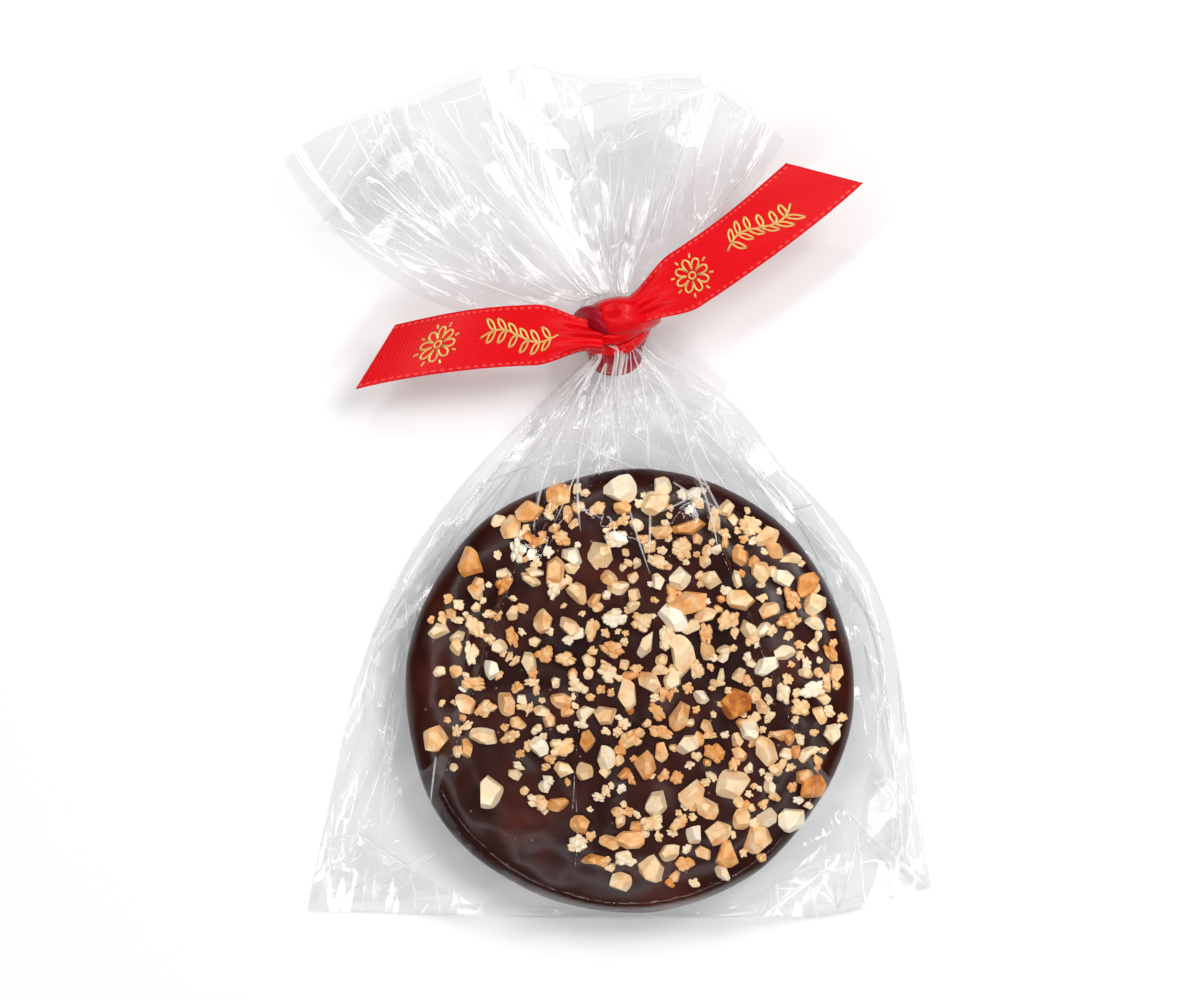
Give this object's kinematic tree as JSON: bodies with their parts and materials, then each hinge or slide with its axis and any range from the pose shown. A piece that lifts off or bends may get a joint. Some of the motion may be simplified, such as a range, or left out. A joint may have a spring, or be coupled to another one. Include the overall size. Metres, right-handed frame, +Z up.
{
  "type": "chocolate cookie",
  "caption": "Round chocolate-coated cookie topped with chopped roasted nuts, in a clear bag gathered at the neck and tied with a red satin ribbon.",
  "frame": {"origin": "on the surface the bag lies on, under the middle of the cookie", "axes": "+Z up, out of the cookie's nut side; +Y from the cookie to the bag's mouth; +X to the right, seen from above with the mouth away from the viewer"},
  "size_m": [0.1081, 0.1433, 0.0176],
  "materials": {
    "chocolate_coating": "satin dark chocolate coating with chopped roasted nuts",
    "clear_film": "clear glossy cellophane",
    "red_satin": "red satin ribbon with woven edges and gold foil ornament"
  },
  "bodies": {
    "root": {"cookie": "chocolate_coating", "bag": "clear_film", "ribbon": "red_satin"}
  },
  "joints": []
}
